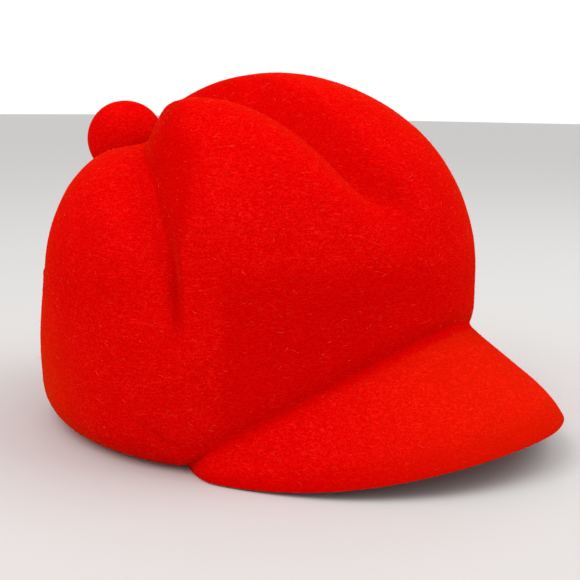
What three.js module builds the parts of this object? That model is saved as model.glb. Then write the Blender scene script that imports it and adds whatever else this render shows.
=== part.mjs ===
// A moulded wool-felt cap: a blown-out crown with five creases that run to a
// felt ball at the upper rear, and a sloping peak drawn from the same felt.
// Millimetres. The front is -Y, the wearer's left is +X, up is +Z, and the
// turned-under hem rests at Z = 0.
import * as THREE from 'three';

const FELT = 2.2;
const WORKING_GAP = 0.4;

// The crown is a bubble with one half-size towards each side of its centre.
const crown = {
  centreY: 18.3,
  halfWidth: 119.4,
  frontReach: 112.4,
  rearReach: 123,
  rearSag: 0.025,
  widestZ: 80.5,
  rise: 105.8,
  drop: 82,
  roundness: 2,
  boxiness: 7.8,
};

// The ball sits in a hollow where the creases meet. The offset is the seat's
// place on the flat map of the upper bubble, 0 at the top and 1 at the widest
// level. A wide shallow hollow runs down into a narrow deep one.
const ball = { radius: 22, proud: 9.6, sides: 22, bands: 13 };
const seat = { offset: 0.55, narrowRadius: 36, wideRadius: 60, wideDepth: 3 };

// One row for each crease. Its end azimuth is from the front towards the
// wearer's right, its lean turns its start, and its reach is 0 at the ball and
// 1 at the widest level. Depths and flank widths are in millimetres. The sharp
// side is 1 where the steep flank is the one further round from the front.
const creaseColumns = [
  'azimuth', 'lean', 'reach', 'startDepth', 'endDepth', 'steep', 'gentle', 'sharpSide',
];
const creases = [
  [0.8, 55, 0.81, 7, 6, 7, 24, 1],
  [78, -12, 1.12, 8, 6, 6, 22, 1],
  [146, 0, 1.05, 6, 5, 7, 18, 1],
  [-146, 0, 1.05, 6, 5, 7, 18, -1],
  [-78, 12, 1.12, 8, 6, 6, 22, -1],
].map((row) => Object.fromEntries(row.map((value, i) => [creaseColumns[i], value])));
const creaseTaper = 0.35;
const creaseFadeIn = 0.22;
const creaseFadeOut = 0.3;

// Behind the two side creases the lobes lie lower near the ball. The step down
// is spread over its width, and fades out between the two shares.
const rearStep = { side: 78, lean: -12, depth: 11, width: 28, full: 0.2, gone: 0.75 };

// The peak leaves the crown along a line that is highest at the front, and
// ends at halfAngle each side.
const peak = {
  halfAngle: 77.5,
  rootZ: 64,
  endZ: 3,
  reach: 52.5,
  reachPower: 2,
  edgeZ: 19,
  edgeEndZ: 2.4,
  edgePower: 1.35,
  flare: 1.34,
  fillet: 8,
  filletShare: 0.12,
};

// Behind the peak the felt turns under and lies flat as the hem.
const hem = { turnZ: 26, flatOuter: 0.82, flatInner: 0.745, blendAngle: 6 };

const COLUMNS_PER_SECTOR = 17;
const COLUMN_BUNCHING = 0.8;
const rows = { upper: 15, upperPower: 1.5, wall: 6, turn: 4, flap: 5 };

const RAD = Math.PI / 180;
const clamp01 = (t) => Math.min(1, Math.max(0, t));
const smooth = (t) => clamp01(t) ** 2 * (3 - 2 * clamp01(t));
const mix = (a, b, t) => a + (b - a) * t;
const heading = (azimuth) => [-Math.sin(azimuth * RAD), -Math.cos(azimuth * RAD)];

// Radius of the widest section at an azimuth.
function planRadius(azimuth) {
  const [x, y] = heading(azimuth);
  const reach = y < 0 ? crown.frontReach : crown.rearReach;
  return 1 / Math.hypot(x / crown.halfWidth, y / reach);
}

// Radius of the plain bubble at a height below its widest level. The rear sags
// outwards half way down.
function wallRadius(azimuth, z) {
  const t = clamp01((crown.widestZ - z) / crown.drop);
  const rearward = (1 - Math.cos(azimuth * RAD)) / 2;
  const sag = 1 + crown.rearSag * rearward * 16 * t ** 2 * (1 - t) ** 2;
  return planRadius(azimuth) * (1 - t ** crown.boxiness) ** (1 / crown.boxiness) * sag;
}

// Direction from the bubble's centre at a place on the fan of lines that leave
// the seat and cross the widest level upright.
function fanDirection(azimuth, share) {
  const [x, y] = heading(azimuth);
  const wx = share * x;
  const wy = share * y + seat.offset * (1 - share) ** 2 * (1 + share);
  const square = wx * wx + wy * wy;
  const spread = 2 / (1 + square);
  return { x: wx * spread, y: wy * spread, z: spread - 1, spread };
}

// Distance from the bubble's centre to its plain surface along a direction.
function bubbleRadius(d) {
  const reach = d.y < 0 ? crown.frontReach : crown.rearReach;
  const flat = Math.hypot(d.x / crown.halfWidth, d.y / reach);
  const power = crown.roundness;
  return (flat ** power + (Math.max(d.z, 0) / crown.rise) ** power) ** (-1 / power);
}

// An azimuth turned into the range from -180 to 180.
const folded = (azimuth) => ((azimuth + 540) % 360) - 180;

// Depth of all creases at an azimuth and share, where arc is the length in
// millimetres of one radian of azimuth there.
function creaseDepth(azimuth, share, arc) {
  let depth = 0;
  for (const c of creases) {
    const line = c.azimuth + c.lean * Math.max(0, 1 - share);
    const across = folded(azimuth - line) * RAD * arc * c.sharpSide;
    const taper = mix(1, creaseTaper, clamp01(share / c.reach));
    const flank = (across > 0 ? c.steep : c.gentle) * taper;
    const section = 1 - smooth(Math.abs(across) / flank);
    const along = mix(c.startDepth, c.endDepth, clamp01(share / c.reach));
    const ends = smooth(share / creaseFadeIn) * smooth((c.reach - share) / creaseFadeOut);
    depth = Math.max(depth, along * section * ends);
  }
  return depth;
}

// Depth of the step down to the rear lobes, with the same arc.
function stepDepth(azimuth, share, arc) {
  const line = rearStep.side + rearStep.lean * Math.max(0, 1 - share);
  const past = (Math.abs(folded(azimuth)) - line) * RAD * arc;
  const start = smooth(share / rearStep.full);
  const end = smooth((rearStep.gone - share) / (rearStep.gone - rearStep.full));
  return rearStep.depth * smooth(1 + past / rearStep.width) * start * end;
}

const seatDirection = fanDirection(0, 0);
const seatPoint = pointAlong(seatDirection, bubbleRadius(seatDirection));

function pointAlong(d, radius) {
  return new THREE.Vector3(d.x * radius, crown.centreY + d.y * radius, crown.widestZ + d.z * radius);
}

// Depth of the hollow under the ball, deepest at the seat.
function hollowDepth(point) {
  const deepest = ball.radius - ball.proud + WORKING_GAP;
  const distance = point.distanceTo(seatPoint);
  const dish = (radius) => (1 - clamp01(distance / radius) ** 2) ** 2;
  return seat.wideDepth * dish(seat.wideRadius) + (deepest - seat.wideDepth) * dish(seat.narrowRadius);
}

function upperPoint(azimuth, share) {
  const d = fanDirection(azimuth, share);
  const radius = bubbleRadius(d);
  const arc = share * d.spread * radius;
  const hollow = hollowDepth(pointAlong(d, radius));
  const folds = creaseDepth(azimuth, share, arc) + stepDepth(azimuth, share, arc);
  return pointAlong(d, radius - hollow - folds);
}

// Turns the five crease lines and what lies between them as the share falls to
// 0 at the seat, so that the columns of the mesh follow the creases.
function leanAt(azimuth) {
  const ring = [...creases].sort((a, b) => a.azimuth - b.azimuth);
  const count = ring.length;
  for (let i = 0; i < count; i += 1) {
    const a = ring[i];
    const b = ring[(i + 1) % count];
    const span = (b.azimuth - a.azimuth + 360) % 360;
    const past = (azimuth - a.azimuth + 360) % 360;
    if (past < span) return mix(a.lean, b.lean, past / span);
  }
  return 0;
}

function bezier(a, b, c, t) {
  return a.map((v, i) => (1 - t) ** 2 * v + 2 * t * (1 - t) * b[i] + t * t * c[i]);
}

// Radius and height of the lower felt at an azimuth, as rows from the widest
// level to the cut edge: an upright wall, a turn and a flap.
function lowerProfile(azimuth, turnZ, corner, flap) {
  const profile = [];
  for (let i = 1; i <= rows.wall; i += 1) {
    const z = mix(crown.widestZ, turnZ, i / rows.wall);
    const share = 1 + (crown.widestZ - z) / crown.drop;
    const radius = wallRadius(azimuth, z);
    profile.push([radius - creaseDepth(azimuth, share, radius), z]);
  }
  const start = [wallRadius(azimuth, turnZ), turnZ];
  for (let i = 1; i <= rows.turn; i += 1) profile.push(bezier(start, corner, flap(0), i / rows.turn));
  for (let i = 1; i <= rows.flap; i += 1) profile.push(flap(i / rows.flap));
  return profile;
}

function peakProfile(azimuth) {
  const side = clamp01(Math.abs(azimuth) / peak.halfAngle);
  const rootZ = mix(peak.endZ, peak.rootZ, Math.cos(side * 90 * RAD));
  const rootRadius = wallRadius(azimuth, rootZ);
  const reach = peak.reach * (1 - side ** peak.reachPower);
  const edgeZ = mix(peak.edgeEndZ, peak.edgeZ, 1 - side ** peak.edgePower);
  const flap = (t) => {
    const s = mix(peak.filletShare, 1, t);
    return [rootRadius + reach * s ** peak.flare, mix(rootZ, edgeZ, s)];
  };
  return lowerProfile(azimuth, rootZ + peak.fillet, [rootRadius, rootZ], flap);
}

function hemProfile(azimuth) {
  const radius = planRadius(azimuth);
  const flap = (t) => [radius * mix(hem.flatOuter, hem.flatInner, t), 0];
  return lowerProfile(azimuth, hem.turnZ, [wallRadius(azimuth, hem.turnZ), 0], flap);
}

// Outer points of one column, from the seat to the cut edge.
function outerColumn(azimuth) {
  const column = [];
  const lean = leanAt(azimuth);
  for (let i = 1; i <= rows.upper; i += 1) {
    const share = (i / rows.upper) ** rows.upperPower;
    column.push(upperPoint(azimuth + lean * (1 - share), share));
  }
  const turn = folded(azimuth);
  const under = smooth((Math.abs(turn) - peak.halfAngle + hem.blendAngle) / (2 * hem.blendAngle));
  const [x, y] = heading(turn);
  const front = peakProfile(turn);
  hemProfile(turn).forEach(([r, z], i) => {
    const radius = mix(front[i][0], r, under);
    column.push(new THREE.Vector3(x * radius, crown.centreY + y * radius, mix(front[i][1], z, under)));
  });
  return column;
}

// Azimuths of the mesh's columns, bunched at every crease.
function columnAzimuths() {
  const ring = [...creases].sort((a, b) => a.azimuth - b.azimuth);
  return ring.flatMap((a, k) => {
    const span = (ring[(k + 1) % ring.length].azimuth - a.azimuth + 360) % 360;
    return Array.from({ length: COLUMNS_PER_SECTOR }, (_, i) => {
      const t = i / COLUMNS_PER_SECTOR;
      return a.azimuth + span * (t - COLUMN_BUNCHING * Math.sin(2 * Math.PI * t) / (2 * Math.PI));
    });
  });
}

// Outward directions of a grid of points, by the differences of neighbours.
function gridNormals(grid) {
  const count = grid.length;
  const last = grid[0].length - 1;
  return grid.map((column, i) => column.map((_, j) => {
    const along = column[Math.min(j + 1, last)].clone().sub(column[Math.max(j - 1, 0)]);
    const across = grid[(i + 1) % count][j].clone().sub(grid[(i + count - 1) % count][j]);
    return across.cross(along).normalize();
  }));
}

// Closes a grid of outer points into a felt wall with a cut edge.
function feltWall(grid, pole, poleNormal) {
  const normals = gridNormals(grid);
  const inset = (p, normal) => p.clone().addScaledVector(normal, -FELT);
  const inner = grid.map((column, i) => column.map((p, j) => inset(p, normals[i][j])));
  const positions = [pole, inset(pole, poleNormal), ...grid.flat(), ...inner.flat()];
  const length = grid[0].length;
  const count = grid.length;
  const outerAt = (i, j) => 2 + (i % count) * length + j;
  const innerAt = (i, j) => outerAt(i, j) + count * length;
  const index = [];
  const quad = (a, b, c, d) => index.push(a, b, c, a, c, d);
  for (let i = 0; i < count; i += 1) {
    index.push(0, outerAt(i + 1, 0), outerAt(i, 0));
    index.push(1, innerAt(i, 0), innerAt(i + 1, 0));
    for (let j = 0; j < length - 1; j += 1) {
      quad(outerAt(i, j), outerAt(i + 1, j), outerAt(i + 1, j + 1), outerAt(i, j + 1));
      quad(innerAt(i, j), innerAt(i, j + 1), innerAt(i + 1, j + 1), innerAt(i + 1, j));
    }
    const end = length - 1;
    quad(outerAt(i, end), outerAt(i + 1, end), innerAt(i + 1, end), innerAt(i, end));
  }
  const geometry = new THREE.BufferGeometry().setFromPoints(positions);
  geometry.setIndex(index);
  geometry.computeVertexNormals();
  return geometry;
}

// Outward normal of the plain bubble at the seat.
function seatNormal() {
  const y = (seatPoint.y - crown.centreY) / crown.rearReach ** 2;
  const z = (seatPoint.z - crown.widestZ) / crown.rise ** 2;
  return new THREE.Vector3(0, y, z).normalize();
}

function feltCap(material) {
  const grid = columnAzimuths().map(outerColumn);
  const pole = upperPoint(0, 0);
  const mesh = new THREE.Mesh(feltWall(grid, pole, seatNormal()), material);
  mesh.name = 'felt_cap';
  return mesh;
}

function feltBall(material) {
  const mesh = new THREE.Mesh(new THREE.SphereGeometry(ball.radius, ball.sides, ball.bands), material);
  mesh.name = 'felt_ball';
  mesh.position.copy(seatPoint).addScaledVector(seatNormal(), ball.proud);
  return mesh;
}

const felt = new THREE.MeshStandardMaterial({ color: 0xdd1508, roughness: 0.95, metalness: 0 });
const group = new THREE.Group();
group.add(feltCap(felt), feltBall(felt.clone()));

export default group;
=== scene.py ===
"""A moulded red wool-felt cap: puffed crown, five creases, felt ball and sloping peak.

The shapes are worked out in millimetres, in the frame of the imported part: the front is -Y,
the wearer's left is +X, up is +Z, and the turned-under hem rests at Z = 0. An azimuth is
counted in degrees from the front towards the wearer's right.
"""
from __future__ import annotations

import logging
from dataclasses import dataclass, field, replace
from enum import Enum
from typing import Callable

import bpy
import numpy as np
from mathutils import Matrix, Vector


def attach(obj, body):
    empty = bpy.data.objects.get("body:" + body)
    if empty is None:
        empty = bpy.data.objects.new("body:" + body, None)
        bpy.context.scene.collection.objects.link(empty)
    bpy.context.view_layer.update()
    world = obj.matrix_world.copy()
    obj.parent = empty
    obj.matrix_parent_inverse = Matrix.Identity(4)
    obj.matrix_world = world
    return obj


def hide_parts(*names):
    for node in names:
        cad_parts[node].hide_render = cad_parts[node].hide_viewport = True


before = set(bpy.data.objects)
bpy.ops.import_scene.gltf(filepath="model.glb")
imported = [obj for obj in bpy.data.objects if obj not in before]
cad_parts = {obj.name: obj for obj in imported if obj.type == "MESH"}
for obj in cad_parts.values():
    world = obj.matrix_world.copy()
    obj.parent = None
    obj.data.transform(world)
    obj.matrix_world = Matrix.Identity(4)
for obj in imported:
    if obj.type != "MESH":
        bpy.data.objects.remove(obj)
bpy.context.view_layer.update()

logging.basicConfig(level=logging.INFO, format="%(message)s")
log = logging.getLogger("felt_cap")

Array = np.ndarray
Colour = tuple[float, float, float, float]
MM = 0.001
NEARLY_UP = np.array([1e-3, 0.0, 1.0])


# Curves and small helpers ---------------------------------------------------


def smooth(t: Array) -> Array:
    """Eases from 0 to 1 as t goes from 0 to 1: 3t² - 2t³."""
    c = np.clip(t, 0.0, 1.0)
    return c * c * (3.0 - 2.0 * c)


def mix(a: Array, b: Array, t: Array) -> Array:
    """Goes in a straight line from a to b as t goes from 0 to 1."""
    return a + (b - a) * t


def heading(azimuth: Array) -> tuple[Array, Array]:
    """X and Y of a unit arrow at an azimuth: minus its sine and minus its cosine."""
    turn = np.radians(azimuth)
    return -np.sin(turn), -np.cos(turn)


def fold(azimuth: Array) -> Array:
    """Turns an azimuth into the range from -180 to 180 degrees."""
    return (azimuth + 540.0) % 360.0 - 180.0


def ramp(v: Array, bend: float) -> Array:
    """Rises from 0 to 1 as v does: a parabola up to the share bend, then a straight line.

    Args:
        v: shares of the way; outside 0 to 1 the ramp stays level.
        bend: share of the way that is curved.

    Returns:
        The height of the ramp at each share.
    """
    v = np.clip(v, 0.0, 1.0)
    curved = v * v / (2.0 * bend)
    return np.where(v < bend, curved, v - bend / 2.0) / (1.0 - bend / 2.0)


def curve(at: Array, knots: Array, values: Array) -> Array:
    """Draws a smooth curve through values at knots.

    Between two knots it is a cubic that has the values at both, and at each the slope that
    the values beside it give. Outside the knots it stays level.

    Args:
        at: where the curve is read.
        knots: rising places of the values.
        values: one value for each knot.

    Returns:
        The curve's value at each place.
    """
    slopes = np.gradient(values, knots)
    at = np.clip(at, knots[0], knots[-1])
    k = np.clip(np.searchsorted(knots, at) - 1, 0, len(knots) - 2)
    span = knots[k + 1] - knots[k]
    t = (at - knots[k]) / span
    level = values[k] * (1.0 + 2.0 * t) * (1.0 - t) ** 2
    level = level + values[k + 1] * t * t * (3.0 - 2.0 * t)
    return level + span * t * (1.0 - t) * (slopes[k] * (1.0 - t) - slopes[k + 1] * t)


def unit(vectors: Array) -> Array:
    """Scales every vector of an array to length 1."""
    return vectors / np.maximum(np.linalg.norm(vectors, axis=-1, keepdims=True), 1e-12)


def grid_normals(grid: Array) -> Array:
    """Outward normals of a ring of columns of points.

    Each is the cross product of the step to the next column and the step down the column,
    both taken between the neighbours on either side.

    Args:
        grid: points as columns, rows and X, Y, Z; the columns close into a ring.

    Returns:
        Unit normals in the same layout.
    """
    across = np.roll(grid, -1, 0) - np.roll(grid, 1, 0)
    along = np.gradient(grid, axis=1)
    return unit(np.cross(across, along))


def add_piece(name: str, points: Array, faces: list[list[int]]) -> bpy.types.Object:
    """Makes a smooth-shaded piece.

    Args:
        name: name of the piece.
        points: its points in millimetres.
        faces: the points of each face, counted outwards.

    Returns:
        The piece, with its place in its mesh.
    """
    mesh = bpy.data.meshes.new(name)
    mesh.from_pydata((points * MM).tolist(), [], faces)
    mesh.polygons.foreach_set("use_smooth", np.ones(len(mesh.polygons), bool))
    mesh.update()
    piece = bpy.data.objects.new(name, mesh)
    bpy.context.collection.objects.link(piece)
    return piece


def keep_values(piece: bpy.types.Object, name: str, values: Array) -> None:
    """Keeps one number for each point of a piece as an attribute of its mesh."""
    attribute = piece.data.attributes.new(name, "FLOAT", "POINT")
    attribute.data.foreach_set("value", values.astype(np.float32))


# The shape of the crown -----------------------------------------------------


class Column(Enum):
    """The columns of a crease's stations, by what they hold."""

    SHARE = 0
    LINE = 1
    DEPTH = 2
    LOW_WIDTH = 3
    HIGH_WIDTH = 4
    PINCH_DEPTH = 5
    PINCH_WIDTH = 6


@dataclass(frozen=True)
class Crease:
    """A valley that runs from the ball down the crown, given by stations along it.

    The columns of a station are its share (0 at the ball, 1 at the widest level), the azimuth
    of the line there, the valley's depth, the widths of its low and its high flank, and the
    depth and half-width of the broad soft pinch round it.

    The low flank lies at higher azimuths than the line where low_side is 1, and at lower ones
    where it is -1. The bends are the curved shares of the flanks. The painted shade, a darker
    colour standing in for the valley's shade, is shade on the line where the valley is
    full_depth deep. It reaches rim over the low flank and fades over the outer part of the high
    flank, fade times as fast as the flank itself.
    """

    stations: tuple[tuple[float, ...], ...]
    low_side: int = 1
    low_bend: float = 0.9
    high_bend: float = 0.35
    # Painted shade of the valley's colour: rim, shade, fade and full_depth.
    rim: float = 3.5
    shade: float = 1.0
    fade: float = 3.0
    full_depth: float = 4.5

    def at(self, column: Column, share: Array) -> Array:
        """A column of the stations at a share, on a smooth curve."""
        table = np.array(self.stations).T
        return curve(share, table[Column.SHARE.value], table[column.value])

    def line(self, share: Array) -> Array:
        """Azimuth of the valley's line at a share."""
        return self.at(Column.LINE, share)

    def across(self, azimuth: Array, share: Array, arc: Array) -> Array:
        """Distance from the line towards the low side: the angle times arc."""
        return np.radians(fold(azimuth - self.line(share))) * arc * self.low_side

    def rise(self, azimuth: Array, share: Array, arc: Array) -> Array:
        """How deep in the valley a point is, 1 on the line and 0 outside its flanks.

        Each flank rises from the line by a ramp with its own bend.

        Args:
            azimuth: azimuths of the points.
            share: their shares of the way from the ball to the widest level.
            arc: millimetres to one radian there.

        Returns:
            The share of the valley's depth at each point.
        """
        across = self.across(azimuth, share, arc)
        low = ramp(1.0 - across / self.at(Column.LOW_WIDTH, share), self.low_bend)
        high = ramp(1.0 + across / self.at(Column.HIGH_WIDTH, share), self.high_bend)
        return np.where(across > 0.0, low, high)

    def depth(self, azimuth: Array, share: Array, arc: Array) -> Array:
        """Depth of the valley at points of the crown, with arc millimetres to one radian."""
        return np.maximum(self.at(Column.DEPTH, share), 0.0) * self.rise(azimuth, share, arc)

    def pinch(self, azimuth: Array, share: Array, arc: Array) -> Array:
        """Depth of the soft pinch, an even rise and fall across the line."""
        away = np.abs(self.across(azimuth, share, arc)) / self.at(Column.PINCH_WIDTH, share)
        return np.maximum(self.at(Column.PINCH_DEPTH, share), 0.0) * smooth(1.0 - away)

    def painted_shade(self, azimuth: Array, share: Array, arc: Array) -> Array:
        """Painted shade: a darker colour for the valley's shade, most on the line and the near high
        flank.

        It fades outwards on both flanks and goes with the valley's depth.

        Args:
            azimuth: azimuths of the points.
            share: their shares of the way from the ball to the widest level.
            arc: millimetres to one radian there.

        Returns:
            The painted shade at each point, from 0 to shade.
        """
        across = self.across(azimuth, share, arc)
        high = smooth(self.fade + self.fade * across / self.at(Column.HIGH_WIDTH, share))
        low = smooth(1.0 - across / self.rim)
        deep = np.clip(self.at(Column.DEPTH, share) / self.full_depth, 0.0, 1.0)
        return self.shade * np.where(across > 0.0, low, high) * deep

    def mirrored(self) -> Crease:
        """The same valley on the other side of the crown."""
        turned = tuple((s, -a, *rest) for s, a, *rest in self.stations)
        return replace(self, stations=turned, low_side=-self.low_side)


FRONT_CREASE = Crease(
    (
        (0.0, 60.4, 0.0, 30.0, 22.0, 0.0, 30.0),
        (0.1, 68.3, 3.0, 30.0, 23.0, 0.0, 30.0),
        (0.3, 40.1, 7.5, 30.0, 26.0, 0.5, 30.0),
        (0.5, 30.7, 9.0, 30.0, 27.0, 2.0, 30.0),
        (0.6, 27.1, 8.0, 26.0, 25.0, 3.8, 30.0),
        (0.67, 24.6, 5.0, 20.0, 22.0, 6.0, 28.0),
        (0.72, 21.6, 2.2, 14.0, 20.0, 6.2, 28.0),
        (0.77, 19.6, 0.0, 12.0, 14.0, 4.2, 26.0),
        (0.83, 18.5, 0.0, 8.0, 14.0, 1.4, 26.0),
        (0.9, 18.0, 0.0, 8.0, 14.0, 0.2, 26.0),
        (0.95, 17.0, 0.0, 8.0, 14.0, 0.0, 24.0),
    ),
    low_bend=0.9,
    high_bend=0.6,
    rim=9.0,
    shade=0.6,
)
SIDE_CREASE = Crease(
    (
        (0.0, 76.3, 0.0, 30.0, 26.0, 0.0, 30.0),
        (0.2, 73.6, 3.2, 36.0, 34.0, 1.0, 30.0),
        (0.45, 81.4, 7.0, 46.0, 42.0, 2.4, 30.0),
        (0.6, 80.5, 8.5, 43.0, 40.0, 3.8, 32.0),
        (0.7, 81.0, 8.5, 35.0, 30.0, 5.0, 34.0),
        (0.8, 79.9, 7.5, 20.0, 15.0, 6.0, 34.0),
        (0.92, 78.5, 5.8, 7.5, 8.5, 5.4, 34.0),
        (1.05, 77.3, 4.4, 5.8, 6.0, 3.4, 34.0),
        (1.16, 76.2, 3.0, 4.8, 4.8, 1.8, 32.0),
        (1.24, 75.6, 1.0, 4.4, 4.4, 0.8, 30.0),
        (1.3, 75.2, 0.0, 4.0, 4.0, 0.3, 28.0),
        (1.5, 74.6, 0.0, 4.0, 5.0, 0.0, 26.0),
    ),
    low_bend=0.7,
    high_bend=0.5,
    rim=2.5,
)
REAR_CREASE = Crease(
    (
        (0.0, 146.0, 0.0, 12.0, 22.0, 0.0, 26.0),
        (0.2, 146.0, 4.4, 16.0, 20.0, 0.0, 26.0),
        (0.5, 146.0, 3.6, 16.0, 18.0, 0.0, 26.0),
        (0.7, 146.0, 2.4, 14.0, 16.0, 0.2, 28.0),
        (0.85, 146.0, 1.0, 12.0, 14.0, 0.4, 28.0),
        (1.0, 146.0, 0.0, 10.0, 12.0, 0.3, 28.0),
        (1.25, 146.0, 0.0, 10.0, 12.0, 0.0, 26.0),
    )
)


@dataclass(frozen=True)
class RearStep:
    """How far the lobes behind the two side creases lie below the others near the ball.

    The step grows from the ball to the share full, and has gone at the share gone. Over
    spread degrees behind the side crease it goes from its height to kept times that.
    """

    height: float = 7.8
    full: float = 0.187
    gone: float = 1.073
    kept: float = -0.213
    spread: float = 47.5


@dataclass(frozen=True)
class Seat:
    """The hollow of the ball: a wide shallow dish that runs down into a narrow deep one.

    The offset is how far behind the crown's top it lies on the flat map of the fan. The ball
    keeps its clearance from the felt.
    """

    offset: float = 0.5571
    narrow: float = 34.0
    wide: float = 126.5
    wide_depth: float = 11.1
    clearance: float = 0.4


@dataclass
class Crown:
    """The blown-out crown: a bubble with its own half-size to each side of its centre.

    Above its widest level it is rise high, with roundness as the power of its curve. The wall
    drops below that level, and boxiness is the power that turns it in at its foot. ball_proud
    is how far the ball's centre stands outside the plain bubble.
    """

    centre_y: float = 18.3
    half_width: float = 118.2
    front: float = 111.2
    rear: float = 126.7
    widest_z: float = 82.6
    rise: float = 105.0
    drop: float = 82.0
    roundness: float = 2.008
    boxiness: float = 12.89
    rear_sag: float = 0.022
    ball_radius: float = 22.71
    ball_proud: float = 5.6
    seat: Seat = Seat()
    step: RearStep = RearStep()
    creases: tuple[Crease, ...] = (
        FRONT_CREASE,
        SIDE_CREASE,
        REAR_CREASE,
        REAR_CREASE.mirrored(),
        SIDE_CREASE.mirrored(),
    )

    def plan(self, azimuth: Array) -> Array:
        """Radius of the widest section, a half ellipse in front and another behind."""
        x, y = heading(azimuth)
        return 1.0 / np.hypot(x / self.half_width, y / np.where(y < 0.0, self.front, self.rear))

    def wall(self, azimuth: Array, z: Array) -> Array:
        """Radius below the widest level.

        With t from 0 at the widest level to 1 at the foot, the plan radius is multiplied by
        the boxiness-th root of 1 - t to that power, and at the rear by 1 + a small share of
        16 t² (1 - t)², a sag that is 1 half way down.

        Args:
            azimuth: azimuths of the points.
            z: their heights.

        Returns:
            Distances from the crown's upright axis.
        """
        t = np.clip((self.widest_z - z) / self.drop, 0.0, 1.0)
        rearward = (1.0 - np.cos(np.radians(azimuth))) / 2.0
        sag = 1.0 + self.rear_sag * rearward * 16.0 * t**2 * (1.0 - t) ** 2
        return self.plan(azimuth) * (1.0 - t**self.boxiness) ** (1.0 / self.boxiness) * sag

    def fan(self, azimuth: Array, share: Array) -> tuple[Array, Array]:
        """Directions from the bubble's centre on the fan of lines that leave the ball.

        The fan is drawn flat: share times the heading, plus an offset to the rear that fades
        as (1 - share)² (1 + share). The flat map then goes on the upper half of a sphere by
        stereographic projection.

        Args:
            azimuth: azimuths of the lines.
            share: shares of the way along them.

        Returns:
            Unit directions, and the local scale of the projection.
        """
        x, y = heading(azimuth)
        wx = share * x
        wy = share * y + self.seat.offset * (1.0 - share) ** 2 * (1.0 + share)
        spread = 2.0 / (1.0 + wx * wx + wy * wy)
        return np.stack([wx * spread, wy * spread, spread - 1.0], -1), spread

    def bubble(self, direction: Array) -> Array:
        """Distance to the plain bubble: a superellipse of the level and the upright parts.

        Args:
            direction: unit directions from the bubble's centre.

        Returns:
            The distance in each direction.
        """
        reach = np.where(direction[..., 1] < 0.0, self.front, self.rear)
        level = np.hypot(direction[..., 0] / self.half_width, direction[..., 1] / reach)
        upright = np.maximum(direction[..., 2], 0.0) / self.rise
        return (level**self.roundness + upright**self.roundness) ** (-1.0 / self.roundness)

    def at(self, direction: Array, radius: Array) -> Array:
        """Points at a radius from the bubble's centre."""
        return direction * radius[..., None] + np.array([0.0, self.centre_y, self.widest_z])

    def seat_point(self) -> Array:
        """The point of the plain bubble under the ball."""
        direction, _ = self.fan(np.array(0.0), np.array(0.0))
        return self.at(direction, self.bubble(direction))

    def seat_normal(self) -> Array:
        """The bubble's outward normal under the ball, as an ellipsoid's.

        Returns:
            A unit arrow, which lies in the hat's middle plane.
        """
        p = self.seat_point()
        y = (p[1] - self.centre_y) / self.rear**2
        z = (p[2] - self.widest_z) / self.rise**2
        return unit(np.array([0.0, y, z]))

    def valleys(self, azimuth: Array, share: Array, arc: Array) -> Array:
        """Depth of the deepest valley at each point, and all pinches added."""
        valley = np.max([c.depth(azimuth, share, arc) for c in self.creases], axis=0)
        return valley + np.sum([c.pinch(azimuth, share, arc) for c in self.creases], axis=0)

    def painted_shade(self, azimuth: Array, share: Array, arc: Array) -> Array:
        """Painted shade in the creases: the greatest over them."""
        return np.max([c.painted_shade(azimuth, share, arc) for c in self.creases], axis=0)

    def step_down(self, azimuth: Array, share: Array, arc: Array) -> Array:
        """Depth of the rear lobes: full past the side crease and kept less and less behind it.

        Args:
            azimuth: azimuths of the points.
            share: their shares of the way from the ball to the widest level.
            arc: millimetres to one radian there.

        Returns:
            The depth at each point.
        """
        side, step = self.creases[1], self.step
        past = np.abs(fold(azimuth)) - side.line(share)
        rise = np.where(past > 0.0, 1.0, side.rise(np.abs(fold(azimuth)), share, arc))
        kept = mix(1.0, step.kept, smooth(past / step.spread))
        ends = smooth(share / step.full) * smooth((step.gone - share) / (step.gone - step.full))
        return step.height * ends * rise * kept

    def hollow(self, points: Array) -> Array:
        """Depth of the ball's hollow: two dishes (1 - (distance / radius)²)² added.

        Args:
            points: points of the plain bubble.

        Returns:
            The depth at each point.
        """
        away = np.linalg.norm(points - self.seat_point(), axis=-1)
        deepest = self.ball_radius - self.ball_proud + self.seat.clearance

        def dish(radius: float) -> Array:
            """One dish of depth 1."""
            return (1.0 - np.clip(away / radius, 0.0, 1.0) ** 2) ** 2

        shallow = self.seat.wide_depth
        return shallow * dish(self.seat.wide) + (deepest - shallow) * dish(self.seat.narrow)

    def upper(self, azimuth: Array, share: Array) -> Array:
        """Points of the crown above its widest level: the bubble, less hollow and folds.

        Args:
            azimuth: azimuths of the lines of the fan.
            share: shares of the way along them.

        Returns:
            Points of the felt's outer face.
        """
        direction, spread = self.fan(azimuth, share)
        radius = self.bubble(direction)
        arc = share * spread * radius
        sunk = self.hollow(self.at(direction, radius))
        sunk = sunk + self.step_down(azimuth, share, arc) + self.valleys(azimuth, share, arc)
        return self.at(direction, radius - sunk)

    def turned(self, azimuth: Array, share: Array) -> Array:
        """Azimuths of a grid whose columns follow the valleys.

        At each share a column is turned by what the two creases beside it have turned since
        the widest level, shared out by its distance from each.

        Args:
            azimuth: azimuths of the columns at the widest level.
            share: shares of the rows.

        Returns:
            Azimuths as columns and rows.
        """
        ring = sorted(self.creases, key=lambda crease: float(crease.line(1.0)))
        around = np.array([float(crease.line(1.0)) for crease in ring])
        turn = np.array([crease.line(share) for crease in ring]) - around[:, None]
        past = (azimuth[:, None] - around[None]) % 360.0
        before = np.argmin(past, axis=1)
        after = (before + 1) % len(ring)
        part = np.min(past, axis=1) / ((around[after] - around[before]) % 360.0)
        return azimuth[:, None] + mix(turn[before], turn[after], part[:, None])


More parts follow.
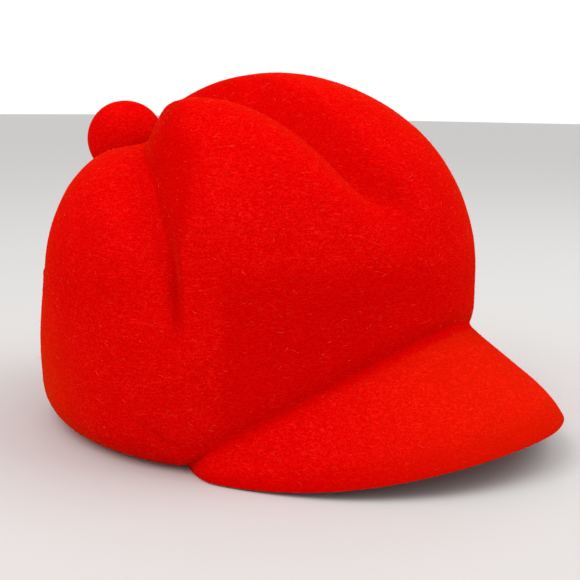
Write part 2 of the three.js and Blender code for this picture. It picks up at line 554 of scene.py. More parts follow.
@dataclass
class Peak:
    """The sloping peak, which leaves the crown along a line that is highest in front.

    It ends at half_angle to each side. The wall bends into it over the height of the fillet
    and the share fillet_share of its reach. Above its root the wall is drawn in by tuck, over
    tuck_height.
    """

    half_angle: float = 78.5
    root_z: float = 61.0
    end_z: float = 3.0
    reach: float = 55.4
    reach_round: float = 1.84
    reach_power: float = 1.65
    edge_z: float = 19.4
    edge_end_z: float = 1.2
    edge_power: float = 3.78
    flare: float = 0.93
    curl: float = 0.16
    curl_power: float = 8.0
    fillet: float = 2.0
    fillet_share: float = 0.04
    tuck: float = 2.2
    tuck_height: float = 11.0

    def side(self, azimuth: Array) -> Array:
        """Share of the way from the front to the peak's end."""
        return np.clip(np.abs(azimuth) / self.half_angle, 0.0, 1.0)

    def root(self, azimuth: Array) -> Array:
        """Height of the line where the peak leaves the crown, a quarter of a cosine wave."""
        return mix(self.end_z, self.root_z, np.cos(self.side(azimuth) * np.pi / 2.0))

    def edge(self, azimuth: Array) -> tuple[Array, Array]:
        """Reach and height of the cut edge.

        The reach is the full one times (1 - side to a power) to a power. The height falls as
        a power of a quarter cosine wave.

        Args:
            azimuth: azimuths of the columns.

        Returns:
            The reach beyond the crown, and the height.
        """
        side = self.side(azimuth)
        reach = self.reach * (1.0 - side**self.reach_power) ** self.reach_round
        fallen = np.cos(side * np.pi / 2.0) ** self.edge_power
        return reach, mix(self.edge_end_z, self.edge_z, fallen)

    def fall(self, out: Array) -> Array:
        """Share of the drop at a share of the reach: a flare, and a curl near the edge."""
        return (1.0 - self.curl) * out**self.flare + self.curl * out**self.curl_power


@dataclass
class Hem:
    """Behind the peak the felt turns under and lies flat.

    It leaves the wall at turn_z and lies flat between the shares outer and inner of the plan
    radius. Peak and hem pass into each other over blend degrees to each side of the peak's
    end.
    """

    turn_z: float = 26.0
    outer: float = 0.82
    inner: float = 0.745
    blend: float = 12.0


@dataclass(frozen=True)
class Rows:
    """How many rows of points each stretch of a column has."""

    upper: int = 112
    wall: int = 34
    turn: int = 12
    flap: int = 30


@dataclass(frozen=True)
class Shading:
    """Where painted shade darkens the felt outside the creases.

    The wall under the front lobes gets under_lobes of it, below lobes_z and nearer the
    front than lobes_side, and less from front_side to the front, where in_front of it is
    left. The peak's root gets it for root_above upwards. Downwards it does for the
    first of root_below, which grows to the second over wide_over degrees towards the
    wearer's left of wide_from. The rim gets it over rim_share of the reach, and root
    and rim fade before the peak's ends.
    """

    under_lobes: float = 0.65
    lobes_z: float = 102.0
    lobes_z_fade: float = 9.0
    lobes_side: float = 67.5
    lobes_side_fade: float = 4.0
    in_front: float = 0.35
    front_side: float = 38.0
    root_above: float = 11.0
    root_below: tuple[float, float] = (6.5, 17.0)
    wide_from: float = 10.0
    wide_over: float = 35.0
    rim_share: float = 0.25
    ends_fade: float = 6.0


@dataclass(frozen=True)
class PaintedSheenZones:
    """Where a painted orange sheen is added, for the glow of the fuzz seen at grazing angles:
    low at the back, and on the peak's front.

    The back grows from the azimuth back_from over back_over degrees, and from the height
    back_top down over back_fade. The peak's share ends at the azimuth peak_side.
    """

    back: float = 0.45
    back_from: float = 92.0
    back_over: float = 50.0
    back_top: float = 85.0
    back_fade: float = 65.0
    peak: float = 0.24
    peak_side: float = 50.0


@dataclass
class FeltCap:
    """The crown, peak and hem: one moulded wall of felt.

    felt is its thickness. bunching and share_power draw the columns to the creases and the
    rows to the ball. The inner face has one row for every inner_step of the outer one, and
    the cut edge is a half round that stands rim_bulge of the thickness proud. The waves in
    the felt begin above still_z and are full after waves_fade more.
    """

    crown: Crown = field(default_factory=Crown)
    peak: Peak = field(default_factory=Peak)
    hem: Hem = field(default_factory=Hem)
    rows: Rows = Rows()
    # Painted shade outside the creases.
    shading: Shading = Shading()
    # Painted orange sheen.
    sheen_layout: PaintedSheenZones = PaintedSheenZones()
    felt: float = 2.2
    sector_columns: int = 66
    bunching: float = 0.8
    share_power: float = 1.5
    inner_step: int = 2
    rim_rows: int = 5
    rim_bulge: float = 0.3
    still_z: float = 3.0
    waves_fade: float = 12.0
    name: str = "felt_cap_shell"

    def azimuths(self) -> Array:
        """Azimuths of the columns, bunched at every crease.

        In each sector between two creases the share t is lessened by bunching times the sine
        of a whole turn over 2 pi.

        Returns:
            One azimuth for each column.
        """
        ring = np.array(sorted(float(crease.line(1.0)) for crease in self.crown.creases))
        span = (np.roll(ring, -1) - ring) % 360.0
        t = np.arange(self.sector_columns) / self.sector_columns
        eased = t - self.bunching * np.sin(2.0 * np.pi * t) / (2.0 * np.pi)
        return (ring[:, None] + span[:, None] * eased[None]).ravel()

    def shares(self) -> Array:
        """Shares of the rows above the widest level, an even count to share_power."""
        return (np.arange(1, self.rows.upper + 1) / self.rows.upper) ** self.share_power

    def lower(
        self,
        azimuth: Array,
        turn_z: Array,
        tuck: Array,
        corner: tuple[Array, Array],
        flap: Callable[[Array], tuple[Array, Array]],
    ) -> list[Array]:
        """Radius and height of the rows below the widest level.

        An upright wall goes down to turn_z, and over its last stretch is tucked in as the
        square of the way down. A quadratic Bezier curve then turns round the corner into the
        flap.

        Args:
            azimuth: azimuths of the columns.
            turn_z: height at which each column leaves the wall.
            tuck: how far each column is tucked in there.
            corner: radius and height of the curve's middle point.
            flap: gives the radius and height of the flap at shares of its length.

        Returns:
            Radii and heights, as columns and rows.
        """
        crown, rows = self.crown, self.rows
        down = np.arange(1, rows.wall + 1) / rows.wall
        z = mix(crown.widest_z, turn_z[:, None], down)
        wide = np.broadcast_to(azimuth[:, None], z.shape)
        radius = crown.wall(wide, z)
        share = 1.0 + (crown.widest_z - z) / crown.drop
        near = np.clip(1.0 - (z - turn_z[:, None]) / self.peak.tuck_height, 0.0, 1.0)
        radius = radius - crown.valleys(wide, share, radius) - tuck[:, None] * near**2
        t = np.arange(1, rows.turn + 1) / rows.turn
        start = (radius[:, -1:], turn_z[:, None])
        turn = [
            (1.0 - t) ** 2 * a + 2.0 * t * (1.0 - t) * b[:, None] + t * t * c
            for a, b, c in zip(start, corner, flap(np.zeros(1)))
        ]
        ends = flap(np.arange(1, rows.flap + 1) / rows.flap)
        return [np.concatenate(parts, 1) for parts in zip((radius, z), turn, ends)]

    def peak_rows(self, azimuth: Array) -> list[Array]:
        """Radii and heights of the columns that end in the peak.

        Args:
            azimuth: azimuths of the columns.

        Returns:
            Radii and heights, as columns and rows.
        """
        peak = self.peak
        root_z = peak.root(azimuth)
        tuck = peak.tuck * np.cos(peak.side(azimuth) * np.pi / 2.0) ** 0.5
        root = self.crown.wall(azimuth, root_z) - tuck
        reach, low = peak.edge(azimuth)

        def flap(t: Array) -> tuple[Array, Array]:
            """The reach grows evenly, and the height falls by the peak's own curve.

            Args:
                t: shares of the way from the root's fillet to the cut edge.

            Returns:
                Radii and heights, as columns and rows.
            """
            out = mix(peak.fillet_share, 1.0, t)[None]
            fallen = (root_z - low)[:, None] * peak.fall(out)
            return root[:, None] + (reach + tuck)[:, None] * out, root_z[:, None] - fallen

        return self.lower(azimuth, root_z + peak.fillet, tuck, (root, root_z), flap)

    def hem_rows(self, azimuth: Array) -> list[Array]:
        """Radii and heights of the columns that end in the hem.

        Args:
            azimuth: azimuths of the columns.

        Returns:
            Radii and heights, as columns and rows.
        """
        plan = self.crown.plan(azimuth)[:, None]
        turn_z = np.full_like(azimuth, self.hem.turn_z)

        def flap(t: Array) -> tuple[Array, Array]:
            """A flat band between two shares of the plan radius."""
            radius = plan * mix(self.hem.outer, self.hem.inner, t)[None]
            return radius, np.zeros_like(radius)

        corner = (self.crown.wall(azimuth, turn_z), np.zeros_like(azimuth))
        return self.lower(azimuth, turn_z, np.zeros_like(azimuth), corner, flap)

    def outside(self) -> Array:
        """Works out the outer face: the crown's top, and below it the peak mixed with the hem.

        Returns:
            Points, as columns from the ball to the cut edge.
        """
        crown, hem = self.crown, self.hem
        azimuth, share = self.azimuths(), self.shares()
        turned = crown.turned(azimuth, share)
        top = crown.upper(turned, np.broadcast_to(share, turned.shape))
        turn = fold(azimuth)
        past = np.abs(turn) - self.peak.half_angle + hem.blend
        part = smooth(past / (2.0 * hem.blend))[:, None]
        radius, z = (
            mix(front, under, part)
            for front, under in zip(self.peak_rows(turn), self.hem_rows(turn))
        )
        x, y = heading(turn[:, None])
        low = np.stack([x * radius, crown.centre_y + y * radius, z], -1)
        return np.concatenate([top, low], 1)

    def visible(self) -> Array:
        """Works out the felt that shows: down to where it turns under, or to the peak's edge.

        Off the peak, the rows of the flap are all drawn into the last row before it.

        Returns:
            Points, as columns and rows.
        """
        outer = self.outside()
        outer = outer + (grid_normals(outer) * self.unevenness(outer)[..., None])
        keep = self.rows.upper + self.rows.wall + self.rows.turn
        on_peak = np.abs(fold(self.azimuths())) < self.peak.half_angle - self.hem.blend
        flap = np.where(on_peak[:, None, None], outer[:, keep:], outer[:, keep - 1 : keep])
        return np.concatenate([outer[:, :keep], flap], 1)

    def unevenness(self, outer: Array) -> Array:
        """Height of the hand-blocked waves, which fade out where the hem rests."""
        return hand_blocked(outer) * smooth((outer[..., 2] - self.still_z) / self.waves_fade)

    def painted_shade(self, outer: Array) -> Array:
        """Painted shade at each point of the outer face, from 0 to 1.

        It is the greatest of what the creases, the front lobes and the peak give.

        Args:
            outer: points of the outer face, as columns and rows.

        Returns:
            A share for each column and row.
        """
        crown, rows = self.crown, self.rows
        turned = crown.turned(self.azimuths(), self.shares())
        share = np.broadcast_to(self.shares(), turned.shape)
        direction, spread = crown.fan(turned, share)
        top = crown.painted_shade(turned, share, share * spread * crown.bubble(direction))
        z = outer[:, rows.upper :, 2]
        azimuth = np.broadcast_to(fold(self.azimuths())[:, None], z.shape)
        share = 1.0 + (crown.widest_z - z) / crown.drop
        wall = crown.painted_shade(azimuth, share, crown.plan(azimuth))
        wall[:, rows.wall :] = 0.0
        creases = np.concatenate([top, wall], 1)
        turn = np.abs(np.concatenate([fold(turned), azimuth], 1))
        lobes, peak = self.painted_shade_under_lobes(outer, turn), self.painted_shade_on_peak(outer, turn)
        return np.max([creases, lobes, peak], axis=0)

    def painted_shade_under_lobes(self, outer: Array, turn: Array) -> Array:
        """Painted shade on the wall under the front lobes.

        Args:
            outer: points of the outer face, as columns and rows.
            turn: degrees from the front at each of them.

        Returns:
            A share for each column and row.
        """
        shading, rows = self.shading, self.rows
        band = smooth((shading.lobes_z - outer[..., 2]) / shading.lobes_z_fade)
        band = band * smooth((shading.lobes_side - turn) / shading.lobes_side_fade)
        band = band * mix(shading.in_front, 1.0, smooth(turn / shading.front_side))
        band[:, rows.upper + rows.wall :] = 0.0
        return shading.under_lobes * band

    def painted_shade_on_peak(self, outer: Array, turn: Array) -> Array:
        """Painted shade on the peak: along its root, and near its cut edge.

        Args:
            outer: points of the outer face, as columns and rows.
            turn: degrees from the front at each of them.

        Returns:
            A share for each column and row.
        """
        shading, rows = self.shading, self.rows
        azimuth = fold(self.azimuths())[:, None]
        above = outer[..., 2] - self.peak.root(azimuth)
        left = smooth((shading.wide_from - azimuth) / shading.wide_over)
        over = smooth(1.0 - above / shading.root_above)
        under = smooth(1.0 + above / mix(*shading.root_below, left))
        out = np.arange(1, rows.flap + 1) / rows.flap
        rim = np.zeros(outer.shape[:2])
        rim[:, -rows.flap :] = smooth((out - 1.0) / shading.rim_share + 1.0)
        ends = smooth((self.peak.half_angle - turn) / shading.ends_fade)
        return ends * np.maximum(np.where(above > 0.0, over, under), rim)

    def painted_sheen(self, outer: Array) -> Array:
        """How much painted orange sheen the outer face gets.

        Args:
            outer: points of the outer face, as columns and rows.

        Returns:
            A share for each column and row.
        """
        sheen_zones = self.sheen_layout
        turn = np.abs(fold(self.azimuths()))[:, None]
        # Painted orange sheen, low at the back and then on the peak.
        back = sheen_zones.back * smooth((turn - sheen_zones.back_from) / sheen_zones.back_over)
        back = back * smooth((sheen_zones.back_top - outer[..., 2]) / sheen_zones.back_fade)
        peak = np.zeros(outer.shape[:2])
        peak[:, -self.rows.flap :] = sheen_zones.peak * smooth(1.0 - turn / sheen_zones.peak_side)
        return np.maximum(back, peak)

    def build(self) -> bpy.types.Object:
        """Builds the closed wall.

        The inner face is the outer one moved in by the felt's thickness along its normals,
        with fewer rows. A half round of rows joins both at the cut edge. Each point keeps how
        far it is on the cut edge, its painted shade and its painted orange sheen.

        Returns:
            The piece.
        """
        outer = self.outside()
        # Painted shade, kept below for the material's colour.
        painted_shade = self.painted_shade(outer)
        normals = grid_normals(outer)
        outer = outer + normals * self.unevenness(outer)[..., None]
        inner = (outer - normals * self.felt)[:, ::-1][:, :: self.inner_step]
        edge, edge_normal = outer[:, -1], normals[:, -1]
        away = unit(outer[:, -1] - outer[:, -2])
        turn = np.linspace(0.0, np.pi, self.rim_rows + 2)[1:-1][None, :, None]
        middle = (edge - edge_normal * self.felt / 2.0)[:, None]
        bulge = away[:, None] * np.sin(turn) ** 0.5 * self.felt * self.rim_bulge
        rim = middle + edge_normal[:, None] * np.cos(turn) * self.felt / 2.0 + bulge
        grid = np.concatenate([outer, rim, inner], 1)
        cut = np.zeros(grid.shape[:2])
        cut[:, outer.shape[1] : outer.shape[1] + self.rim_rows] = 1.0
        painted_shade_mask, painted_sheen = np.zeros((2, *grid.shape[:2]))
        # Painted shade of creases, lobes and peak.
        painted_shade_mask[:, : outer.shape[1]] = painted_shade
        # Painted orange sheen, low at the back and on the peak.
        painted_sheen[:, : outer.shape[1]] = self.painted_sheen(outer)
        pole = self.crown.upper(np.zeros(1), np.zeros(1))[0]
        poles = (pole, pole - self.crown.seat_normal() * self.felt)
        piece = ring_mesh(self.name, grid, poles)
        # The cut edge's own colour, the painted shade and the painted orange sheen, as attributes.
        for name, values in (("cut_edge", cut), ("painted_shade_mask", painted_shade_mask), ("painted_sheen", painted_sheen)):
            keep_values(piece, name, np.append(values, np.zeros(len(poles))))
        return piece


def hand_blocked(points: Array) -> Array:
    """Small unevenness of hand-blocked felt: a sum of slanting sine waves.

    A row of the table has a wave's radians to a millimetre along X, Y and Z, its start and its
    height.

    Args:
        points: points of the felt.

    Returns:
        Millimetres outwards at each point.
    """
    waves = np.array(
        [
            [0.061, 0.043, 0.052, 0.3, 0.16],
            [-0.048, 0.069, 0.037, 1.9, 0.14],
            [0.093, -0.071, 0.064, 4.1, 0.09],
            [0.124, 0.103, -0.118, 2.6, 0.06],
            [-0.211, 0.163, 0.187, 0.8, 0.035],
            [0.257, 0.231, 0.198, 5.2, 0.03],
        ]
    )
    phase = points @ waves[:, :3].T + waves[:, 3]
    return np.sin(phase) @ waves[:, 4]


def ring_mesh(name: str, grid: Array, poles: tuple[Array, Array]) -> bpy.types.Object:
    """Makes a closed mesh of a ring of columns that end in two poles.

    Args:
        name: name of the piece.
        grid: points in millimetres as columns, rows and X, Y, Z.
        poles: the points before the first row and after the last.

    Returns:
        The piece, with its place in its mesh.
    """
    columns, length = grid.shape[:2]
    index = np.arange(columns * length).reshape(columns, length)
    beside = np.roll(index, -1, 0)
    quads = np.stack([index[:, :-1], beside[:, :-1], beside[:, 1:], index[:, 1:]], -1)
    first, last = columns * length, columns * length + 1
    top = np.stack([np.full(columns, first), beside[:, 0], index[:, 0]], -1)
    bottom = np.stack([np.full(columns, last), index[:, -1], beside[:, -1]], -1)
    points = np.concatenate([grid.reshape(-1, 3), np.stack(poles)])
    return add_piece(name, points, quads.reshape(-1, 4).tolist() + top.tolist() + bottom.tolist())


@dataclass
class FeltBall:
    """The felt ball in the hollow, a little uneven as a ball rolled by hand is."""

    crown: Crown
    columns: int = 96
    rows: int = 60
    name: str = "felt_ball_stuffed"

    def build(self) -> bpy.types.Object:
        """Builds the ball, as columns round the seat's normal and rows from pole to pole.

        Returns:
            The piece.
        """
        crown = self.crown
        normal = crown.seat_normal()
        side = np.array([1.0, 0.0, 0.0])
        front = np.cross(normal, side)
        turn = np.linspace(0.0, 2.0 * np.pi, self.columns, endpoint=False)
        fall = np.linspace(0.0, np.pi, self.rows + 2)[1:-1]
        a, e = np.meshgrid(-turn, fall, indexing="ij")
        local = np.stack([np.sin(e) * np.cos(a), np.sin(e) * np.sin(a), np.cos(e)], -1)
        direction = local @ np.stack([side, front, normal])
        centre = crown.seat_point() + normal * crown.ball_proud
        grid = centre + direction * self.radius(direction)[..., None]
        ends = np.stack([normal, -normal])
        poles = centre + ends * self.radius(ends)[..., None]
        return ring_mesh(self.name, grid, (poles[0], poles[1]))

    def radius(self, direction: Array) -> Array:
        """Radius of the ball: its own, and a sum of slow waves.

        A row of the table has a wave's three slopes, its start and its height.

        Args:
            direction: unit directions from the ball's centre.

        Returns:
            The radius in each direction.
        """
        waves = np.array(
            [[2.1, 1.3, -1.7, 0.4, 0.16], [-1.4, 2.6, 1.9, 2.2, 0.13], [4.3, -3.1, 3.7, 1.1, 0.07]]
        )
        uneven = np.sin(direction @ waves[:, :3].T + waves[:, 3]) @ waves[:, 4]
        return self.crown.ball_radius + uneven


@dataclass
class Fuzz:
    """Loose wool fibres on the felt, each a thin three-sided tube.

    spread is how far they turn from level, in radians. bend is the rise of a fibre's bow for
    its half length, and centring the share of it that is taken off to keep the bow on its
    place. A fibre's middle is lifted off the felt by lift, and stand is the steepest slope of
    one that stands. None lies below least_z.
    """

    name: str
    count: int
    seed: int
    length: tuple[float, float] = (1.0, 3.4)
    radius: float = 0.055
    spread: float = 0.6
    bend: float = 0.25
    centring: float = 0.4
    lift: float = 0.14
    stand: float = 0.0
    least_z: float = 4.0
    stations: int = 4

    def build(self, outer: Array) -> bpy.types.Object:
        """Strews the fibres over a surface, evenly by its area.

        A cell of the surface is picked by its area. Two more draws, each up to half a side,
        give the place from the cell's first corner.

        Args:
            outer: points of the surface, as columns and rows; the columns close into a ring.

        Returns:
            The piece.
        """
        chance = np.random.default_rng(self.seed)
        right, below = np.roll(outer, -1, 0)[:, :-1], outer[:, 1:]
        corner = outer[:, :-1]
        area = np.linalg.norm(np.cross(right - corner, below - corner), axis=-1)
        area = (area * (below[..., 2] > self.least_z)).ravel()
        pick = chance.choice(area.size, self.count, p=area / area.sum())
        corner, right, below = (part.reshape(-1, 3)[pick] for part in (corner, right, below))
        u, v = chance.random((2, self.count, 1)) * 0.5
        normal = unit(np.cross(right - corner, below - corner))
        place = corner + (right - corner) * u + (below - corner) * v
        return self.tubes(self.paths(place, normal, chance), chance)

    def paths(self, place: Array, normal: Array, chance: np.random.Generator) -> tuple[Array, ...]:
        """The middle lines of the fibres, with two arrows across each.

        A fibre lies along the surface, mostly level, and bends as a parabola. It lifts off the
        felt in its middle, and one that stands also rises to its end.

        Args:
            place: where each fibre's middle lies.
            normal: the felt's outward arrow there.
            chance: the source of random draws.

        Returns:
            Points and the arrows to the side and outwards, as fibres and stations.
        """
        level = unit(np.cross(NEARLY_UP, normal))
        angle = chance.normal(0.0, self.spread, (self.count, 1))
        along = np.cos(angle) * level + np.sin(angle) * np.cross(normal, level)
        side = np.cross(normal, along)
        s = np.linspace(-1.0, 1.0, self.stations)[None, :, None]
        half = chance.uniform(*self.length, (self.count, 1, 1)) / 2.0
        bow = chance.normal(0.0, self.bend, (self.count, 1, 1)) * half * (s * s - self.centring)
        rise = chance.random((self.count, 1, 1)) * self.stand * half * (1.0 + s)
        out = self.lift * (1.0 - s * s) - self.radius + rise
        side, normal = side[:, None], normal[:, None]
        points = place[:, None] + along[:, None] * half * s + side * bow + normal * out
        return points, np.broadcast_to(side, points.shape), np.broadcast_to(normal, points.shape)

    def tubes(self, paths: tuple[Array, ...], chance: np.random.Generator) -> bpy.types.Object:
        """Makes tubes round the paths, with a random tone kept for each fibre.

        Args:
            paths: points and the two arrows across, as fibres and stations.
            chance: the source of random draws.

        Returns:
            The piece.
        """
        points, side, outward = paths
        turn = np.radians([90.0, 210.0, 330.0])[None, None, :, None]
        ring = self.radius * (np.cos(turn) * side[:, :, None] + np.sin(turn) * outward[:, :, None])
        vertices = (points[:, :, None] + ring).reshape(-1, 3)
        index = np.arange(len(vertices)).reshape(self.count, self.stations, 3)
        beside = np.roll(index, 1, 2)
        quads = np.stack([index[:, :-1], beside[:, :-1], beside[:, 1:], index[:, 1:]], -1)
        ends = np.concatenate([index[:, 0], index[:, -1, ::-1]])
        piece = add_piece(self.name, vertices, quads.reshape(-1, 4).tolist() + ends.tolist())
        keep_values(piece, "tone", np.repeat(chance.random(self.count), self.stations * 3))
        return piece


# Finishes -------------------------------------------------------------------


class Nodes:
    """Makes the nodes of one material, and links them.

    FACTOR, FIRST, SECOND and MIXED are the numbers of a Mix node's sockets for colours, which
    come after those for plain numbers and vectors.
    """

    FACTOR, FIRST, SECOND, MIXED = 0, 6, 7, 2

    def __init__(self, name: str) -> None:
        """Starts an empty material with an output.

        Args:
            name: name of the material.
        """
        self.material = bpy.data.materials.new(name)
        self.material.use_nodes = True
        self.tree = self.material.node_tree
        self.tree.nodes.clear()
        self.output = self.tree.nodes.new("ShaderNodeOutputMaterial")

    def add(
        self, kind: str, inputs: dict[str | int, object] | None = None, **settings: object
    ) -> bpy.types.Node:
        """Adds a node.

        Args:
            kind: the node's type name.
            inputs: a value or a socket to link, by input name or number.
            settings: the node's own properties.

        Returns:
            The node.
        """
        node = self.tree.nodes.new(kind)
        for key, value in settings.items():
            setattr(node, key, value)
        for key, value in (inputs or {}).items():
            if isinstance(value, bpy.types.NodeSocket):
                self.tree.links.new(value, node.inputs[key])
            else:
                node.inputs[key].default_value = value
        return node

    def attribute(self, name: str) -> bpy.types.NodeSocket:
        """Reads a number that the mesh keeps for each point."""
        return self.add("ShaderNodeAttribute", attribute_name=name).outputs["Fac"]

    def reckon(self, operation: str, *values: object) -> bpy.types.NodeSocket:
        """Adds a Math node on numbers or sockets."""
        return self.add("ShaderNodeMath", dict(enumerate(values)), operation=operation).outputs[0]

    def blend(
        self, share: bpy.types.NodeSocket, first: object, second: object, way: str = "MIX"
    ) -> bpy.types.NodeSocket:
        """Mixes two colours.

        Args:
            share: the share of the second one.
            first: a colour, as numbers or a socket.
            second: another.
            way: the Mix node's own word for how they go together.

        Returns:
            The socket with the mixed colour.
        """
        inputs = {self.FACTOR: share, self.FIRST: first, self.SECOND: second}
        node = self.add("ShaderNodeMix", inputs, data_type="RGBA", blend_type=way)
        return node.outputs[self.MIXED]

    def join(self, kind: str, inputs: dict[str | int, object]) -> bpy.types.Material:
        """Adds the shader, links it to the output and gives the material.

        Args:
            kind: the shader's type name.
            inputs: a value or a socket to link, by input name or number.

        Returns:
            The material.
        """
        shader = self.add(kind, inputs)
        self.tree.links.new(shader.outputs[0], self.output.inputs["Surface"])
        return self.material


@dataclass(frozen=True)
class WoolFelt:
    """Matted wool felt: short fibres that lie mostly level, with a soft bloom at its rims.

    deep is the felt between the fibres, and folded the painted shade that darkens it in the
    folds, under the lobes and on the peak, where the fibres show less by worn, painted shade
    too. handled is a painted orange sheen, added low at the back and on the peak. fibres is
    the range of the noise that a fibre takes up, patches the range of the slow noise that makes
    them uneven, and thick what it multiplies their tone by. Each row of streaks turns one layer
    of fibres, in radians about X, Y and Z.
    """

    name: str
    deep: Colour = (0.555, 0.0001, 0.0001, 1.0)
    bright: Colour = (0.81, 0.006, 0.004, 1.0)
    # Painted shade: the darker red of the folds.
    shade_colour: Colour = (0.52, 0.0, 0.0, 1.0)
    cut: Colour = (0.60, 0.010, 0.003, 1.0)
    # Painted sheen: green added to turn the red orange.
    painted_sheen: Colour = (0.0, 0.023, 0.0, 1.0)
    # Painted shade: fewer light fibres where the felt is shaded.
    shade_dimming: float = 0.6
    roughness: float = 0.95
    sheen: float = 0.3
    sheen_tint: Colour = (0.6, 0.1, 0.012, 1.0)
    sheen_roughness: float = 0.22
    fibre_scale: float = 1150.0
    fibres: tuple[float, float] = (0.48, 0.76)
    contrast: float = 1.7
    stretch: float = 7.0
    bump: float = 0.45
    bump_height: float = 0.0004
    patch_scale: float = 55.0
    patches: tuple[float, float] = (0.3, 0.7)
    thick: tuple[float, float] = (0.7, 1.25)
    streaks: tuple[tuple[float, float, float], ...] = (
        (0.0, 0.10, 0.15),
        (0.3, -0.15, 0.95),
        (0.7, 0.12, 1.75),
        (1.1, -0.08, 2.5),
    )

    def grain(self, nodes: Nodes, place: bpy.types.NodeSocket) -> bpy.types.NodeSocket:
        """Adds the fibres: the greatest of some stretched noises, one for each way they lie.

        Args:
            nodes: the material's nodes.
            place: the socket with the Object coordinates.

        Returns:
            A socket that is 0 between the fibres and 1 on them.
        """
        layers = []
        for seed, turn in enumerate(self.streaks):
            turned = nodes.add(
                "ShaderNodeMapping",
                {
                    "Vector": place,
                    "Rotation": turn,
                    "Scale": (self.stretch, 1.0, 1.0),
                    "Location": (seed, seed, seed),
                },
                vector_type="TEXTURE",
            ).outputs[0]
            noise = {"Vector": turned, "Scale": self.fibre_scale, "Detail": 1.5, "Roughness": 0.6}
            layers.append(nodes.add("ShaderNodeTexNoise", noise).outputs["Fac"])
        greatest = layers[0]
        for layer in layers[1:]:
            greatest = nodes.reckon("MAXIMUM", greatest, layer)
        least, most = self.fibres
        span = {"Value": greatest, "From Min": least, "From Max": most}
        return nodes.add("ShaderNodeMapRange", span).outputs["Result"]

    def bloom(self, nodes: Nodes, place: bpy.types.NodeSocket) -> bpy.types.NodeSocket:
        """Adds the unevenness of the fibres, a slow noise stretched over the range of thick.

        Args:
            nodes: the material's nodes.
            place: the socket with the Object coordinates.

        Returns:
            A socket with what the fibres' tone is multiplied by.
        """
        noise = {"Vector": place, "Scale": self.patch_scale, "Detail": 4.0, "Roughness": 0.55}
        patches = nodes.add("ShaderNodeTexNoise", noise).outputs["Fac"]
        names = ("From Min", "From Max", "To Min", "To Max")
        span = dict(zip(names, self.patches + self.thick))
        return nodes.add("ShaderNodeMapRange", {"Value": patches, **span}).outputs["Result"]

    def material(self) -> bpy.types.Material:
        """Builds the material.

        The fibres lighten the colour and lift the bump. Painted shade darkens the ground and shows
        fewer fibres in the folds, and a painted orange sheen is added. A slow noise makes the bloom
        uneven.

        Returns:
            The material.
        """
        nodes = Nodes(self.name)
        place = nodes.add("ShaderNodeTexCoord").outputs["Object"]
        grain = self.grain(nodes, place)
        thick = self.bloom(nodes, place)
        painted_shade_mask = nodes.attribute("painted_shade_mask")
        # Painted shade: the fibres show less where the felt is shaded.
        kept = nodes.reckon("MULTIPLY_ADD", painted_shade_mask, -self.shade_dimming, 1.0)
        tone = nodes.reckon("POWER", grain, self.contrast)
        for factor in (thick, kept):
            tone = nodes.reckon("MULTIPLY", tone, factor)
        # Painted shade: the ground colour darkens where the mesh marks shade.
        ground = nodes.blend(painted_shade_mask, self.deep, self.shade_colour)
        colour = nodes.blend(tone, ground, self.bright)
        # Painted orange sheen, added where the mesh marks it.
        colour = nodes.blend(nodes.attribute("painted_sheen"), colour, self.painted_sheen, "ADD")
        colour = nodes.blend(nodes.attribute("cut_edge"), colour, self.cut)
        relief = {"Height": grain, "Strength": self.bump, "Distance": self.bump_height}
        inputs = {
            "Base Color": colour,
            "Roughness": self.roughness,
            "Specular IOR Level": 0.0,
            "Sheen Weight": self.sheen,
            "Sheen Roughness": self.sheen_roughness,
            "Sheen Tint": self.sheen_tint,
            "Normal": nodes.add("ShaderNodeBump", relief).outputs[0],
        }
        return nodes.join("ShaderNodeBsdfPrincipled", inputs)


@dataclass(frozen=True)
class LooseWool:
    """Loose wool fibres, from the felt's own red to a few light ones.

    rarity is the power of a fibre's tone, which keeps all but a few near red.
    """

    name: str
    red: Colour = (0.74, 0.012, 0.003, 1.0)
    light: Colour = (1.0, 0.11, 0.06, 1.0)
    rarity: float = 6.0

    def material(self) -> bpy.types.Material:
        """Builds the material: a power of a fibre's tone goes from red to light.

        Returns:
            The material.
        """
        nodes = Nodes(self.name)
        share = nodes.reckon("POWER", nodes.attribute("tone"), self.rarity)
        colour = nodes.blend(share, self.red, self.light)
        inputs = {"Base Color": colour, "Roughness": 0.8, "Specular IOR Level": 0.1}
        return nodes.join("ShaderNodeBsdfPrincipled", inputs)


@dataclass(frozen=True)
class PaleFloor:
    """A plain pale studio floor."""

    colour: Colour = (0.54, 0.53, 0.52, 1.0)

    def material(self) -> bpy.types.Material:
        """Builds the material."""
        inputs = {"Base Color": self.colour, "Roughness": 0.8}
        return Nodes("pale_floor").join("ShaderNodeBsdfPrincipled", inputs)


# Studio ---------------------------------------------------------------------


@dataclass(frozen=True)
class Softbox:
    """One square soft white light: its place, what it points at, its side and its power.

    Places and sides are in metres.
    """

    name: str
    place: tuple[float, float, float]
    aim: tuple[float, float, float]
    side: float
    watts: float

    def build(self) -> None:
        """Adds the light."""
        data = bpy.data.lights.new(self.name, "AREA")
        data.shape = "SQUARE"
        data.size = self.side
        data.energy = self.watts
        light = bpy.data.objects.new(self.name, data)
        light.location = self.place
        towards = Vector(self.aim) - Vector(self.place)
        light.rotation_euler = towards.to_track_quat("-Z", "Y").to_euler()
        bpy.context.collection.objects.link(light)


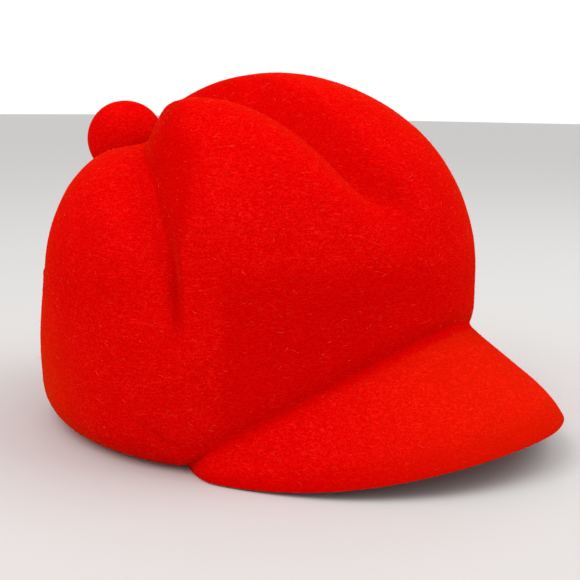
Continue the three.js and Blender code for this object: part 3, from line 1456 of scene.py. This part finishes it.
@dataclass
class Studio:
    """Floor, lights and camera.

    The camera stands at an azimuth, a distance from the crown's axis and a height, both in
    millimetres. Its angles are in degrees. world is the strength of the even sky, and the
    floor reaches floor_half metres from its middle.
    """

    centre_y: float
    lens: float = 62.07
    azimuth: float = 55.23
    distance: float = 547.9
    height: float = 169.3
    pitch: float = 10.39
    yaw: float = -1.2
    roll: float = 0.74
    sensor: float = 36.0
    nearest: float = 0.01
    farthest: float = 50.0
    floor_half: float = 12.0
    world: float = 1.03
    boxes: tuple[Softbox, ...] = (
        Softbox("side_box", (-1.01, 0.19, 1.29), (0.0, 0.0, 0.08), 1.1, 10.0),
        Softbox("front_box", (0.584, -0.847, 1.286), (0.0, 0.0, 0.08), 1.1, 8.8),
    )

    def camera(self) -> None:
        """Adds the camera, which is turned by the yaw, then pitched down and rolled."""
        phi, yaw, pitch, roll = np.radians([self.azimuth, self.yaw, self.pitch, self.roll])
        level = np.array([np.sin(phi - yaw), np.cos(phi - yaw), 0.0])
        right = np.array([np.cos(phi - yaw), -np.sin(phi - yaw), 0.0])
        up = level * np.sin(pitch) + np.array([0.0, 0.0, np.cos(pitch)])
        forward = level * np.cos(pitch) - np.array([0.0, 0.0, np.sin(pitch)])
        right, up = (
            np.cos(roll) * right + np.sin(roll) * up,
            -np.sin(roll) * right + np.cos(roll) * up,
        )
        place = np.array(
            [-self.distance * np.sin(phi), self.centre_y - self.distance * np.cos(phi), self.height]
        )
        data = bpy.data.cameras.new("camera")
        data.lens = self.lens
        data.sensor_width = self.sensor
        data.clip_start = self.nearest
        data.clip_end = self.farthest
        camera = bpy.data.objects.new("camera", data)
        matrix = Matrix.Identity(4)
        for column, axis in enumerate((right, up, -forward)):
            for row in range(3):
                matrix[row][column] = axis[row]
        matrix.translation = Vector(place * MM)
        camera.matrix_world = matrix
        bpy.context.collection.objects.link(camera)
        bpy.context.scene.camera = camera

    def floor(self) -> None:
        """Adds the floor at the level of the hem."""
        mesh = bpy.data.meshes.new("floor")
        half = self.floor_half
        corners = [(-half, -half, 0.0), (half, -half, 0.0), (half, half, 0.0), (-half, half, 0.0)]
        mesh.from_pydata(corners, [], [(0, 1, 2, 3)])
        mesh.materials.append(PaleFloor().material())
        floor = bpy.data.objects.new("floor", mesh)
        bpy.context.collection.objects.link(floor)

    def build(self) -> None:
        """Adds everything, with an even pale sky."""
        self.camera()
        self.floor()
        for box in self.boxes:
            box.build()
        world = bpy.data.worlds.new("studio")
        world.use_nodes = True
        sky = world.node_tree.nodes["Background"]
        sky.inputs["Color"].default_value = (1.0, 1.0, 1.0, 1.0)
        sky.inputs["Strength"].default_value = self.world
        bpy.context.scene.world = world
        bpy.context.scene.view_settings.view_transform = "Standard"


# Making ---------------------------------------------------------------------


def place_piece(piece: bpy.types.Object, node: str, felt: bpy.types.Material) -> None:
    """Dresses a piece, lets it ride on the body and puts it in its node's place.

    Args:
        piece: the piece.
        node: the CAD node that it replaces.
        felt: its finish.
    """
    piece.data.materials.append(felt)
    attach(piece, "root")
    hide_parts(node)
    mesh = piece.data
    log.info("%s: %d points, %d faces", piece.name, len(mesh.vertices), len(mesh.polygons))


def main() -> None:
    """Builds the studio and the pieces in order."""
    cap = FeltCap()
    Studio(centre_y=cap.crown.centre_y).build()
    place_piece(cap.build(), "felt_cap", WoolFelt("wool_felt").material())
    ball = FeltBall(cap.crown).build()
    place_piece(ball, "felt_ball", WoolFelt("ball_felt").material())
    wool = LooseWool("loose_wool").material()
    outer = cap.visible()
    nap = Fuzz("felt_cap_nap", count=8000, seed=5)
    hairs = Fuzz(
        "felt_cap_stray_hairs",
        count=500,
        seed=11,
        length=(2.0, 5.0),
        radius=0.04,
        stand=0.6,
        stations=6,
    )
    for fuzz in (nap, hairs):
        place_piece(fuzz.build(outer), "felt_cap", wool)


if __name__ == "__main__":
    main()
